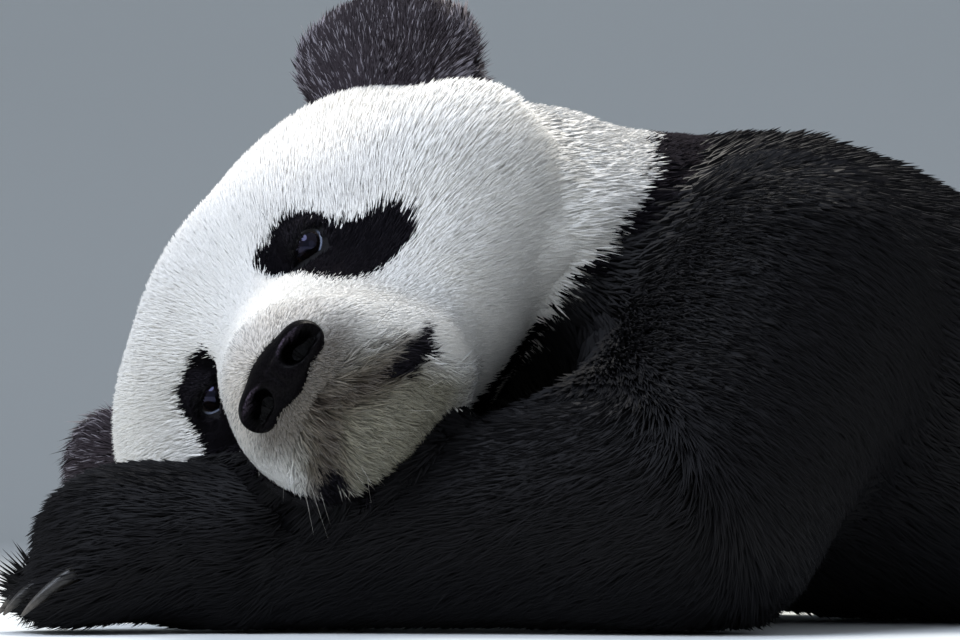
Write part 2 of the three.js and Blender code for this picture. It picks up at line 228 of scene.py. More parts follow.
# ---- Skin -------------------------------------------------------------------------------------------
# One unbroken skin covers head, ears, neck, trunk, tail and legs. It lies under the outline of the furred
# body by the depth of the coat, which is thin on the muzzle and paws and deep on the cheeks and back.
legs = [f"foreleg_{side}_{part}" for side in ("left", "right") for part in ("upper", "forearm", "paw")]
legs += [f"hindleg_{side}_{part}" for side in ("left", "right") for part in ("thigh", "shank", "foot")]
flesh = ["head", "ear_left", "ear_right", "neck", "shoulders", "loins", "rump", "tail", *legs]
skin_grain = 0.006


def faces_of(mesh):
    """The mesh's points and triangles as arrays."""
    points = np.empty(len(mesh.vertices) * 3, np.float32)
    mesh.vertices.foreach_get("co", points)
    mesh.calc_loop_triangles()
    triangles = np.empty(len(mesh.loop_triangles) * 3, np.int32)
    mesh.loop_triangles.foreach_get("vertices", triangles)
    return points.reshape(-1, 3).astype(float), triangles.reshape(-1, 3)


def body_outline():
    """All the parts of the body in one mesh, and which part each triangle is of.

    The eyes and the nose fill their seats in the head, and count as head.
    """
    points, triangles, owner = [], [], []
    start = 0
    plugs = [(0, node) for node in ("eye_left", "eye_right", "nose")]
    for index, node in [*enumerate(flesh), *plugs]:
        node_points, node_triangles = faces_of(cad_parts[node].data)
        points.append(node_points)
        triangles.append(node_triangles + start)
        owner.append(np.full(len(node_triangles), index))
        start += len(node_points)
    return np.concatenate(points), np.concatenate(triangles), np.concatenate(owner)


outline_points, outline_triangles, outline_owner = body_outline()
outline_mesh = bpy.data.meshes.new("panda_outline")
outline_mesh.from_pydata(outline_points.tolist(), [], outline_triangles.tolist())
skin = bpy.data.objects.new("panda_skin", outline_mesh)
bpy.context.collection.objects.link(skin)
wrapping = skin.modifiers.new("one_skin", "REMESH")
wrapping.mode = "VOXEL"
wrapping.voxel_size = skin_grain
wrapped = bpy.data.meshes.new_from_object(skin.evaluated_get(bpy.context.evaluated_depsgraph_get()))
skin.modifiers.clear()
skin.data = wrapped
wrapped.name = "panda_skin"


def neighbours(mesh):
    edges = np.empty(len(mesh.edges) * 2, np.int32)
    mesh.edges.foreach_get("vertices", edges)
    return edges.reshape(-1, 2)


def relaxed(values, edges, rounds):
    """Values at the points of a mesh, each drawn towards the mean of its neighbours."""
    values = values.reshape(len(values), -1).astype(float)
    a, b = edges[:, 0], edges[:, 1]
    count = len(values)
    degree = np.bincount(a, minlength=count) + np.bincount(b, minlength=count)
    degree = np.maximum(degree, 1)[:, None]
    for _ in range(rounds):
        columns = [
            np.bincount(a, values[b, k], count) + np.bincount(b, values[a, k], count)
            for k in range(values.shape[1])
        ]
        values = (values + np.stack(columns, 1) / degree) / 2
    return values


def unit(vectors):
    return vectors / (np.linalg.norm(vectors, axis=-1, keepdims=True) + 1e-12)


def drop_pockets(mesh):
    """Deletes the closed pockets that the parts enclose, and keeps the outside."""
    work = bmesh.new()
    work.from_mesh(mesh)
    left, islands = set(work.verts), []
    while left:
        island, edge_of_it = set(), [left.pop()]
        while edge_of_it:
            vert = edge_of_it.pop()
            island.add(vert)
            for edge in vert.link_edges:
                other = edge.other_vert(vert)
                if other in left:
                    left.discard(other)
                    edge_of_it.append(other)
        islands.append(island)
    islands.sort(key=len)
    bmesh.ops.delete(work, geom=[vert for island in islands[:-1] for vert in island], context="VERTS")
    work.to_mesh(mesh)
    work.free()


drop_pockets(wrapped)

# The wrapped mesh is smoothed, and made finer where the face has small forms.
skin_points, _ = faces_of(wrapped)
skin_points = relaxed(skin_points, neighbours(wrapped), 7)
wrapped.vertices.foreach_set("co", skin_points.ravel())

# Each pass halves the grain, out from a distance behind the eyes and within a distance of the midline.
fine = bmesh.new()
fine.from_mesh(wrapped)
for reach_out, reach_side in ((-30, 115), (-14, 80)):
    chosen = []
    for face in fine.faces:
        left, out, crown = to_head(np.array(face.calc_center_median()))
        if out > reach_out and abs(left) < reach_side and -150 < crown < 60:
            chosen.append(face)
    edges = list({edge for face in chosen for edge in face.edges})
    bmesh.ops.subdivide_edges(fine, edges=edges, cuts=1, use_grid_fill=True)
bmesh.ops.triangulate(fine, faces=fine.faces[:])
fine.to_mesh(wrapped)
fine.free()

skin_points, skin_triangles = faces_of(wrapped)
skin_edges = neighbours(wrapped)

nearest = BVHTree.FromPolygons(outline_points.tolist(), outline_triangles.tolist())
part_of = np.array([outline_owner[nearest.find_nearest(p)[2]] for p in skin_points.tolist()])


def share_of(*names):
    """How much each point of the skin belongs to these parts, eased across their joints."""
    wanted = [flesh.index(name) for name in names]
    return np.clip(relaxed(np.isin(part_of, wanted).astype(float), skin_edges, 10)[:, 0], 0, 1)


head_share = share_of("head")
head_local = to_head(skin_points)
nose_at = np.array((0.0, 86.0, -74.0))

# Depth of the coat, in millimetres.
coat_depths = {
    "head": 8, "ear_left": 8, "ear_right": 8, "neck": 14,
    "shoulders": 17, "loins": 20, "rump": 21, "tail": 16,
}
leg_depths = {"upper": 15, "forearm": 13, "paw": 8, "thigh": 20, "shank": 15, "foot": 8}
coat_depths |= {leg_part: leg_depths[leg_part.rsplit("_", 1)[1]] for leg_part in legs}


def face_depth(local):
    """Depth of the head's coat, thin at the nose and deepest over the cheeks."""
    from_nose = np.linalg.norm(local - nose_at, axis=1)
    cheek = rise(60, 120, np.abs(local[:, 0])) * rise(30, -60, local[:, 1])
    return 2.1 + 4.6 * rise(60, 230, from_nose) + 2.6 * cheek


coat_depth = np.array([coat_depths[name] for name in flesh], float)[part_of]
coat_depth = np.where(part_of == flesh.index("head"), face_depth(head_local), coat_depth)
coat_depth = relaxed(coat_depth, skin_edges, 8)[:, 0]


def point_normals(points, triangles):
    """The way out of the surface at each point."""
    corners = points[triangles]
    across = np.cross(corners[:, 1] - corners[:, 0], corners[:, 2] - corners[:, 0])
    total = [
        sum(np.bincount(triangles[:, corner], across[:, axis], len(points)) for corner in range(3))
        for axis in range(3)
    ]
    return unit(np.stack(total, 1))


outer_normals = unit(relaxed(point_normals(skin_points, skin_triangles), skin_edges, 3))

# Where one part lies on another the coat is pressed thin.
hollow = ((relaxed(skin_points, skin_edges, 24) - skin_points) * outer_normals).sum(1) * 1000
pressed_thin = relaxed(rise(0.8, 5, hollow), skin_edges, 6)[:, 0]
press = 0.75
coat_depth *= 1 - press * pressed_thin
shrunk_points = skin_points - outer_normals * coat_depth[:, None] / 1000

# The left foreleg gives way under the cheek and chin, except where it is deep inside the head's form.
give = 6
deep_inside = -30
sunk = np.isin(part_of, [flesh.index(name) for name in legs])
for _ in range(3):
    sunk_local = to_head(shrunk_points[sunk])
    room = face_form(sunk_local)
    slope = np.stack(
        [face_form(sunk_local + step) - face_form(sunk_local - step) for step in np.eye(3)], 1
    )
    push = np.clip(give - room, 0, give)
    push = np.where(room > deep_inside, push, 0)
    shrunk_points[sunk] = from_head(sunk_local + unit(slope) * push[:, None] * 0.7)

# The head is drawn onto its true form, with a mound for the lids over each eye.
eye_radius = 11.5
lid_mound = 13.2
eye_places = {1: np.array((51.5, -5.0, -1.5)), -1: np.array((-47.5, -5.5, -0.5))}
eye_names = {1: "left", -1: "right"}
seat_middle, seat_radii = np.array((0, 94, -79)), (29, 22, 12.5)


def bare_form(local, depth):
    """The head under its coat, with the mounds of the lids and the seat of the nose pad."""
    mounds = [ball(local, at, (lid_mound,) * 3) for at in eye_places.values()]
    whole = merged(9, [face_form(local) + depth, *mounds])
    return scooped(3, whole, ball(local, seat_middle, seat_radii))


def drawn_onto_form(local, depth):
    """Points moved straight down or up onto the bare head."""
    probe = 0.5
    for _ in range(6):
        here = bare_form(local, depth)
        slope = np.stack(
            [
                (bare_form(local + step, depth) - bare_form(local - step, depth)) / (2 * probe)
                for step in probe * np.eye(3)
            ],
            1,
        )
        local = local - slope * (here / np.maximum((slope**2).sum(1), 0.2))[:, None]
    return local


on_head = head_share > 0.02
start = head_local[on_head]
local = drawn_onto_form(start, coat_depth[on_head])
moved = local - start
by_the_nose = rise(44, 30, np.linalg.norm(start - nose_at, axis=1))
furthest, further_by_the_nose = 12, 20
limit = coat_depth[on_head] + furthest + further_by_the_nose * by_the_nose
length = np.linalg.norm(moved, axis=1)
local = start + moved * np.minimum(1, limit / np.maximum(length, 1e-6))[:, None]
share = head_share[on_head][:, None]
shrunk_points[on_head] = shrunk_points[on_head] * (1 - share) + from_head(local) * share

# Flesh and deep hair fill the crease between the head and the neck.
neck_share = np.clip(relaxed((part_of == flesh.index("neck")).astype(float), skin_edges, 30), 0, 1)
crease = np.clip(4.4 * neck_share * (1 - neck_share), 0, 1)
crease *= np.clip(3 * (neck_share + head_share[:, None]) - 2, 0, 1)
skin_points = shrunk_points + (relaxed(shrunk_points, skin_edges, 70) - shrunk_points) * crease
lowest_skin = 0.002
skin_points[:, 2] = np.maximum(skin_points[:, 2], lowest_skin)


def move_skin():
    """Takes the worked points over into the mesh."""
    wrapped.vertices.foreach_set("co", skin_points.ravel())
    wrapped.update()


move_skin()
skin_normals = point_normals(skin_points, skin_triangles)
head_local = to_head(skin_points)

# The skin dives under the eyeballs inside each eye's opening.
gaze = unit(np.array((0.15, 0.82, -0.54)))
slit_half_length = 9.6
slit_half_height = 6.1
slit_tilt = math.radians(3)
eye_surround = 22
dive_to = 9


def eye_axes(side):
    """The way from an eye's inner to its outer corner, and up across the lids."""
    outer = unit(np.cross(np.cross(gaze, (side, 0, 0)), gaze))
    upper = unit(np.cross(outer, gaze) * side)
    upper *= np.sign(upper[2])
    turned = unit(outer * math.cos(slit_tilt) + upper * math.sin(slit_tilt))
    return turned, unit(upper * math.cos(slit_tilt) - outer * math.sin(slit_tilt))


def slit_angle(turn):
    """How far from the gaze the lid's edge lies, all round the opening. The inner corner is drawn out."""
    inner = np.maximum(-np.cos(turn), 0) ** 6
    x = (slit_half_length + 0.8 * inner) * np.cos(turn)
    y = slit_half_height * np.sin(turn) * (1 - 0.35 * inner)
    return np.arctan2(y, x), np.arcsin(np.clip(np.hypot(x, y) / eye_radius, 0, 0.985))


def in_slit(local, side):
    """Below 1 inside the opening between the lids."""
    outer, upper = eye_axes(side)
    ray = unit(local - eye_places[side])
    away = np.arccos(np.clip(ray @ gaze, -1, 1))
    heading = np.arctan2(ray @ upper, ray @ outer)
    turns = np.linspace(-math.pi, math.pi, 181)
    headings, edges = slit_angle(turns)
    order = np.argsort(headings)
    near = np.linalg.norm(local - eye_places[side], axis=1) < eye_surround
    far_outside = 9
    return np.where(near, away / np.interp(heading, headings[order], edges[order]), far_outside)


for side, at in eye_places.items():
    inside = in_slit(head_local, side) < 1.06
    head_local[inside] = at + unit(head_local[inside] - at) * dive_to
    skin_points[inside] = from_head(head_local[inside])
move_skin()
skin_normals = point_normals(skin_points, skin_triangles)

# ---- Markings ---------------------------------------------------------------------------------------
# Ears, eye patches, legs and a band over the shoulders are black, the rest is cream white, and the lower
# throat is painted black as painted shade. The muzzle greys towards the nose and lips and darkens on its
# underside and chin, partly as painted shade, and a dark spot lies behind each corner of the mouth. Skin
# and coat are coloured by one rule, so that the skin never shows pale between dark locks.
cream = np.array((0.86, 0.835, 0.785))
jet = np.array((0.0048, 0.0044, 0.0055))
muzzle_grey_and_shade = np.array((0.11, 0.09, 0.07))
chin_buff_and_shade = np.array((0.235, 0.22, 0.165))
muzzle_buff = np.array((0.66, 0.56, 0.46))
lip_brown = np.array((0.05, 0.04, 0.035))
black_parts = ["ear_left", "ear_right", "shoulders", *legs]
# An eye patch is a stroke seen from the front, with a radius at each of its points.
patch_path = (((37, 7.5), 10.5), ((48.5, 1.5), 18), ((67, -33.5), 18.5), ((86, -38), 16.5))
under_coat = 2.8
lip_path = (
    (0, 80, -106), (6, 75, -109.5), (13, 71, -112),
    (21, 65, -113.5), (28, 58, -114), (41, 41, -113),
)
lip_path = drawn_onto_form(np.array(lip_path, float), under_coat)
groove_path = drawn_onto_form(np.array(((0, 93, -95), (0, 80, -106)), float), under_coat)
corner_path = ((29, 53, -114), (38, 41, -115), (47, 30, -112.5), (57, 22, -104.5))
corner_path = drawn_onto_form(np.array(corner_path, float), under_coat)
corner_radii = (3, 9, 7.5, 1.5)
pad_middle = (0, 92, -82)


def lattice(points, grain, seed):
    """Smooth noise from -1 to 1, in three directions, over lumps of one size in metres."""
    table = np.random.default_rng(seed).uniform(-1, 1, (32, 32, 32, 3))
    place = points / grain
    cell = np.floor(place).astype(int)
    t = place - cell
    t = t * t * (3 - 2 * t)
    total = 0
    for corner in np.ndindex(2, 2, 2):
        share = np.prod(np.where(corner, t, 1 - t), axis=1)
        total = total + share[:, None] * table[tuple(((cell + corner) % 32).T)]
    return total


def patch_depth(local):
    """How far inside an eye patch, in millimetres. The patch hangs outward and down from the eye."""
    flat = np.stack([np.abs(local[:, 0]), local[:, 2]], 1)
    outside = merged(
        6,
        [
            limb(flat, start, end, start_radius, end_radius)
            for (start, start_radius), (end, end_radius) in zip(patch_path, patch_path[1:])
        ],
    )
    return np.where(local[:, 1] > -75, -outside, -50)


def near_path(local, path, radii=None):
    """Distance from a line or a stroke on the face and from its mirror image, in millimetres."""
    folded = local.copy()
    folded[:, 0] = np.abs(folded[:, 0])
    radii = np.zeros(len(path)) if radii is None else radii
    best = np.full(len(local), 1e3)
    for k in range(len(path) - 1):
        best = np.minimum(best, limb(folded, path[k], path[k + 1], radii[k], radii[k + 1]))
    return best


def head_tint(local):
    """Colour of the head's pale hair, with painted shade on the underside of the muzzle and on the chin.
    """
    lips = near_path(local, lip_path)
    from_pad = np.linalg.norm((local - pad_middle) / (1.3, 1, 1), axis=1)
    # The muzzle's underside and the chin are painted darker, partly their own grey and buff, partly
    # painted shade.
    shaded_underside = rise(-72, -92, local[:, 2])
    chin = rise(-94, -112, local[:, 2]) * rise(-60, 10, local[:, 1]) * rise(52, 32, np.abs(local[:, 0]))
    grey_and_shade = np.maximum(rise(56, 26, from_pad) * (0.04 + 0.88 * shaded_underside), 0.9 * rise(20, 5, lips))
    tint = cream + (muzzle_buff - cream) * (0.5 * rise(50, 26, from_pad) * (1 - shaded_underside))[:, None]
    tint = tint + (chin_buff_and_shade - tint) * chin[:, None]
    tint = tint + (muzzle_grey_and_shade - tint) * grey_and_shade[:, None]
    tint = tint + (lip_brown - tint) * (0.75 * rise(6, 1.5, lips))[:, None]
    corner = rise(2, -1, near_path(local, corner_path, corner_radii))
    return tint + (jet * 1.6 - tint) * corner[:, None]


# The lips meet in a fold that runs back from under the nose to the corners of the mouth.
to_lips = near_path(head_local, lip_path)
fold_depth = 3.0 * rise(5, 0.5, to_lips)
fold_depth = np.maximum(fold_depth, 1.5 * rise(3.5, 0.5, near_path(head_local, groove_path)))
fold_depth -= 1.2 * rise(4, 8, to_lips) * rise(15, 8, to_lips)
skin_points -= skin_normals * (fold_depth * head_share)[:, None] / 1000
move_skin()
head_local = to_head(skin_points)

# The front of the black band is one slanting line over neck and shoulders.
black_share = share_of(*black_parts)
band_edge = eyes_middle + np.array((0.184, 0.12, 0.05))
band_way = unit(np.array((0.82, 0.15, -0.55)))
band_blur = 0.006
past_band_edge = rise(-band_blur, band_blur, (skin_points - band_edge) @ band_way)
near_band = np.isin(part_of, [flesh.index(name) for name in ("neck", "shoulders", "foreleg_left_upper")])
black_share = np.where(near_band, past_band_edge, black_share)
head_pure = share_of("head", "ear_left", "ear_right")


def coat_colour(points, black, on_head_share, ragged):
    """Colour of the hair rooted at these points; ragged frays the edge of each marking."""
    local = to_head(points)
    wander = lattice(points, 0.011, 3)[:, 0] * 1.3 + ragged
    on_head = on_head_share > 0.5
    patch = patch_depth(local) + wander > 0
    # The lower throat behind the chin is painted black, as painted shade where it lies in shadow under the
    # jaw.
    shaded_throat_edge = -78 - 0.6 * (np.abs(local[:, 0]) - 20) + 2 * wander
    shaded_throat = (local[:, 1] < shaded_throat_edge) & (local[:, 2] < -84 + wander)
    dark = (black + 0.02 * wander > 0.5) | (on_head & (patch | shaded_throat))
    pale = np.where(on_head[:, None], head_tint(local), cream)
    return np.where(dark[:, None], jet, pale), dark


skin_colour, _ = coat_colour(skin_points, black_share, head_share, np.zeros(len(skin_points)))

# Where the head and neck lie on a leg, the skin in the fold is painted black as painted shade, and carries
# no pale hair.
leg_triangles = outline_triangles[np.isin(outline_owner, [flesh.index(name) for name in legs])]
leg_tree = BVHTree.FromPolygons(outline_points.tolist(), leg_triangles.tolist())
by_a_leg = np.zeros(len(skin_points))
fold_room = 0.004
for index in np.flatnonzero(np.isin(part_of, [flesh.index("head"), flesh.index("neck")])):
    reach = coat_depth[index] / 1000 + fold_room
    by_a_leg[index] = leg_tree.find_nearest(skin_points[index].tolist(), reach)[0] is not None
skin_colour = np.where(by_a_leg[:, None] > 0.5, jet, skin_colour)

# The skin is black round the eyes and round the seat of the nose pad.
from_eye = np.minimum(*[np.linalg.norm(head_local - at, axis=1) for at in eye_places.values()])
from_seat = np.linalg.norm((head_local - (seat_middle - (0, 2, 0))) / seat_radii, axis=1)
bare_black = rise(34, 30, np.abs(head_local[:, 0])) * rise(1.3, 1.1, from_seat)
bare_black = np.maximum(rise(19, 16, from_eye), bare_black)
skin_colour = skin_colour + (jet - skin_colour) * (bare_black * head_share)[:, None]


def paint(mesh, name, colours):
    """One colour for each point of a mesh, kept in a named layer."""
    layer = mesh.color_attributes.new(name, "FLOAT_COLOR", "POINT")
    layer.data.foreach_set("color", np.column_stack([colours, np.ones(len(colours))]).ravel())


skin_shade = 0.92
paint(wrapped, "marking", skin_colour * skin_shade)


def wire(material, start, end):
    material.node_tree.links.new(start, end)


def grain(material, scale, strength, distance):
    """Fine relief on a surface, in metres of height."""
    nodes = material.node_tree.nodes
    noise = nodes.new("ShaderNodeTexNoise")
    noise.inputs["Scale"].default_value = scale
    noise.inputs["Detail"].default_value = 3
    wire(material, nodes.new("ShaderNodeTexCoord").outputs["Object"], noise.inputs["Vector"])
    bump = nodes.new("ShaderNodeBump")
    bump.inputs["Strength"].default_value = strength
    bump.inputs["Distance"].default_value = distance
    wire(material, noise.outputs["Fac"], bump.inputs["Height"])
    wire(material, bump.outputs["Normal"], nodes["Principled BSDF"].inputs["Normal"])


def painted(material, layer_name, scale, low, high):
    """Base colour from a painted layer, broken up by fine noise."""
    nodes = material.node_tree.nodes
    layer = nodes.new("ShaderNodeAttribute")
    layer.attribute_name = layer_name
    noise = nodes.new("ShaderNodeTexNoise")
    noise.inputs["Scale"].default_value = scale
    wire(material, nodes.new("ShaderNodeTexCoord").outputs["Object"], noise.inputs["Vector"])
    spread = nodes.new("ShaderNodeMapRange")
    spread.inputs["From Min"].default_value = 0.3
    spread.inputs["From Max"].default_value = 0.7
    spread.inputs["To Min"].default_value = low
    spread.inputs["To Max"].default_value = high
    wire(material, noise.outputs["Fac"], spread.inputs["Value"])
    mix = nodes.new("ShaderNodeVectorMath")
    mix.operation = "SCALE"
    wire(material, layer.outputs["Color"], mix.inputs[0])
    wire(material, spread.outputs["Result"], mix.inputs["Scale"])
    wire(material, mix.outputs["Vector"], nodes["Principled BSDF"].inputs["Base Color"])


hide, hide_shader = plain_surface("panda_hide", cream, 0.85)
painted(hide, "marking", 700, 0.8, 1.15)
grain(hide, 900, 0.6, 0.0012)
hide_shader.inputs["Specular IOR Level"].default_value = 0.25
skin.data.materials.clear()
skin.data.materials.append(hide)
wrapped.shade_smooth()
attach(skin, "root")
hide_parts(*flesh)


def piece(name, points, faces, material, slot_name, *nodes):
    """A smooth mesh piece in the row's metres, that rides with the body and may replace nodes."""
    mesh = bpy.data.meshes.new(name)
    mesh.from_pydata(np.asarray(points).tolist(), [], [list(face) for face in faces])
    mesh.materials.append(material)
    mesh.shade_smooth()
    made = bpy.data.objects.new(name, mesh)
    bpy.context.collection.objects.link(made)
    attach(made, "root")
    if nodes:
        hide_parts(*nodes)
    return made


def tube_faces(rows, columns):
    """Quads between rings of points, each ring joined from its last point to its first."""
    quads = []
    for this_row in range(0, (rows - 1) * columns, columns):
        next_row = this_row + columns
        for c in range(columns):
            d = (c + 1) % columns
            quads.append((this_row + c, this_row + d, next_row + d, next_row + c))
    return quads


# ---- Eyes -------------------------------------------------------------------------------------------
# Each eye is a wet ball with a low rise over the iris. The iris is so dark a brown that the pupil hardly
# shows, and a dim brown ring of white is seen only at the corners.
eye_rings, eye_sides = 40, 64
cornea_rise, cornea_spread = 0.9, math.radians(30)
ball_play = 0.15
iris_edge, pupil_edge = math.radians(40), math.radians(16)
pupil_black = np.array((0.002, 0.002, 0.0025))
iris_brown = np.array((0.006, 0.004, 0.0035))
eye_white = np.array((0.02, 0.014, 0.012))


def eye_ball(side):
    """Rings of points round the gaze, painted from the pupil out to the white."""
    outer, upper = eye_axes(side)
    away = np.linspace(0.02, math.pi - 0.02, eye_rings)[:, None, None]
    turn = np.linspace(0, 2 * math.pi, eye_sides, endpoint=False)[None, :, None]
    rays = np.cos(away) * gaze + np.sin(away) * (np.cos(turn) * outer + np.sin(turn) * upper)
    radius = eye_radius - ball_play + cornea_rise * np.exp(-((away / cornea_spread) ** 2))
    points = (eye_places[side] + rays * radius).reshape(-1, 3)
    streaks = 0.75 + 0.25 * np.cos(turn * 23 + 3 * np.sin(turn * 5))
    colour = pupil_black + (iris_brown * streaks - pupil_black) * rise(pupil_edge, pupil_edge + 0.08, away)
    colour = colour + (pupil_black * 1.5 - colour) * rise(iris_edge - 0.16, iris_edge, away)
    colour = colour + (eye_white - colour) * rise(iris_edge + 0.02, iris_edge + 0.14, away)
    faces = tube_faces(eye_rings, eye_sides)
    back = (eye_rings - 1) * eye_sides
    faces += [tuple(range(eye_sides))[::-1], tuple(range(back, back + eye_sides))]
    name = "eye_" + eye_names[side]
    made = piece("panda_" + name, from_head(points), faces, eye_stuff, "eye", name)
    paint(made.data, "iris", np.broadcast_to(colour, rays.shape).reshape(-1, 3))


eye_stuff, eye_shader = plain_surface("wet_eye", iris_brown, 0.08)
painted(eye_stuff, "iris", 900, 0.8, 1.2)
eye_shader.inputs["Specular IOR Level"].default_value = 0.3
eye_shader.inputs["Specular Tint"].default_value = (0.35, 0.35, 1.0, 1)
eye_shader.inputs["Coat Weight"].default_value = 0.22
eye_shader.inputs["Coat Roughness"].default_value = 0.03
eye_shader.inputs["IOR"].default_value = 1.4
for side in (1, -1):
    eye_ball(side)

# ---- Lids -------------------------------------------------------------------------------------------
# The lids are a rim of bare, wet, grey-black skin round each opening, swept round the slit on the
# eyeball. The lower rim is painted a pale blue, a painted reflection of the light on its wet edge.
lid_sides = 96
# How far out from the gaze, as a share of the slit's, and the height over the eyeball.
lid_profile = ((0.93, -0.1), (0.97, 0.3), (1.0, 0.75), (1.04, 1.1), (1.1, 1.3), (1.2, 1.3), (1.35, 0.6))
lid_black = np.array((0.005, 0.0045, 0.005))
lid_rim_glint = np.array((0.13, 0.15, 0.21))


def lids(side):
    outer, upper = eye_axes(side)
    turn = np.linspace(0, 2 * math.pi, lid_sides, endpoint=False)
    heading, edge = slit_angle(turn)
    points, colours = [], []
    lower = rise(0.15, -0.5, np.sin(turn))
    sideways = np.cos(heading)[:, None] * outer + np.sin(heading)[:, None] * upper
    for widen, lift in lid_profile:
        away = (edge * widen)[:, None]
        ray = np.cos(away) * gaze + np.sin(away) * sideways
        points.append(eye_places[side] + ray * (eye_radius + lift))
        # The pale blue of the lower rim is a painted reflection.
        rim = lower * (1 if 0.96 < widen < 1.02 else 0.05)
        colours.append(lid_black + (lid_rim_glint - lid_black) * rim[:, None])
    faces = tube_faces(len(lid_profile), lid_sides)
    name = "panda_lids_" + eye_names[side]
    made = piece(name, from_head(np.concatenate(points)), faces, lid_stuff, "nose")
    paint(made.data, "rim", np.concatenate(colours))


lid_stuff, lid_shader = plain_surface("lid_skin", lid_black, 0.32)
painted(lid_stuff, "rim", 1500, 0.7, 1.3)
grain(lid_stuff, 2600, 0.4, 0.0003)
lid_shader.inputs["Specular IOR Level"].default_value = 0.2
for side in (1, -1):
    lids(side)

# ---- Nose -------------------------------------------------------------------------------------------
# The nose pad is bare black skin, finely pebbled and damp, with two deep nostrils that run out into slits
# at the sides and a shallow groove down the middle.
nose_core = np.array((0.0, 74.0, -76.0))
nose_skin = np.array((0.0022, 0.0018, 0.0022))
nose_top = np.array((0.13, 0.10, 0.14))
# Middle, radii and softness of edge: nostril, its slit to the side, and half of the groove.
nostrils = (
    ((17, 101, -82.5), (8.2, 15, 6.2), 3),
    ((24.5, 96, -83), (6.5, 11, 4.4), 3),
    ((0, 104, -90), (0.9, 6, 12), 2),
)


def nose_form(local, open_nostrils=True):
    """How far outside the nose pad each point is, negative inside."""
    folded = local.copy()
    folded[:, 0] = np.abs(folded[:, 0])
    forms = [
        ball(local, (0, 86, -78), (30, 14.5, 13.5)),
        ball(local, (0, 80, -71), (20, 13, 9)),
        ball(folded, (22, 87, -80), (10.5, 11.5, 10.5)),
        ball(local, (0, 90, -88), (12, 8, 6)),
    ]
    whole = merged(7, forms)
    for at, radii, softness in nostrils if open_nostrils else ():
        whole = scooped(softness, whole, ball(folded, at, radii))
    return whole


def nose_pad():
    """A fine ball whose points travel out from the pad's core until they reach its surface."""
    work = bmesh.new()
    bmesh.ops.create_icosphere(work, subdivisions=6, radius=1)
    rays = unit(np.array([vert.co for vert in work.verts]))
    faces = [[vert.index for vert in face.verts] for face in work.faces]
    work.free()
    rays = unit(rays * (1.4, 1, 1))
    reach = np.zeros(len(rays))
    steps, share_of_room = 60, 0.6
    for _ in range(steps):
        room = -nose_form(nose_core + rays * reach[:, None])
        reach += np.clip(room * share_of_room, -0.6, 3)
    points = nose_core + rays * reach[:, None]
    made = piece("panda_nose", from_head(points), faces, nose_stuff, "nose", "nose")
    normals = np.empty(len(points) * 3, np.float32)
    made.data.vertices.foreach_get("normal", normals)
    upward = (normals.reshape(-1, 3) @ head_axes.T)[:, 2]
    # The pad is painted a paler purple-grey where its top faces up.
    paler_on_top = rise(-0.1, 0.35, upward) * rise(-79, -71, points[:, 2])
    folded = points * np.where(points[:, :1] < 0, (-1, 1, 1), (1, 1, 1))
    # Towards the depths of the nostrils the colour is painted down to black, as painted shade in the
    # hollows.
    inside = np.minimum(*[ball(folded, at, radii) for at, radii, _ in nostrils[:2]])
    colour = nose_skin + (nose_top - nose_skin) * paler_on_top[:, None]
    paint(made.data, "pad", colour * rise(0.1, 1.6, inside)[:, None])


nose_stuff, nose_shader = plain_surface("nose_skin", nose_skin, 0.42)
painted(nose_stuff, "pad", 1300, 0.0, 2.2)
nose_nodes = nose_stuff.node_tree.nodes
pebbles = nose_nodes.new("ShaderNodeTexVoronoi")
pebbles.inputs["Scale"].default_value = 900
wire(nose_stuff, nose_nodes.new("ShaderNodeTexCoord").outputs["Object"], pebbles.inputs["Vector"])
pebbling = nose_nodes.new("ShaderNodeBump")
pebbling.inputs["Strength"].default_value = 0.4
pebbling.inputs["Distance"].default_value = 0.0004
wire(nose_stuff, pebbles.outputs["Distance"], pebbling.inputs["Height"])
wire(nose_stuff, pebbling.outputs["Normal"], nose_shader.inputs["Normal"])
nose_shader.inputs["Specular IOR Level"].default_value = 0.06
nose_shader.inputs["IOR"].default_value = 1.2
nose_shader.inputs["Coat Weight"].default_value = 0.03
nose_shader.inputs["Coat Roughness"].default_value = 0.25
nose_pad()

# ---- Claws ------------------------------------------------------------------------------------------
# Twenty dark horn claws, round in section, curve down out of the toes and are worn pale at the tip.
# Each is swept along one curve from its bed in the toe out to the tip of its solid.
claw_rings, claw_sides = 10, 12
claw_base_radius, claw_tip_radius = 0.0052, 0.0006
claw_arch, claw_bed, claw_flatness = 0.0035, 0.35, 0.8
claw_dark, claw_worn = np.array((0.016, 0.014, 0.012)), np.array((0.10, 0.085, 0.07))

claw_stuff, _ = plain_surface("claw_horn", claw_dark, 0.38)
painted(claw_stuff, "horn", 400, 0.6, 1.4)
grain(claw_stuff, 800, 0.25, 0.0004)


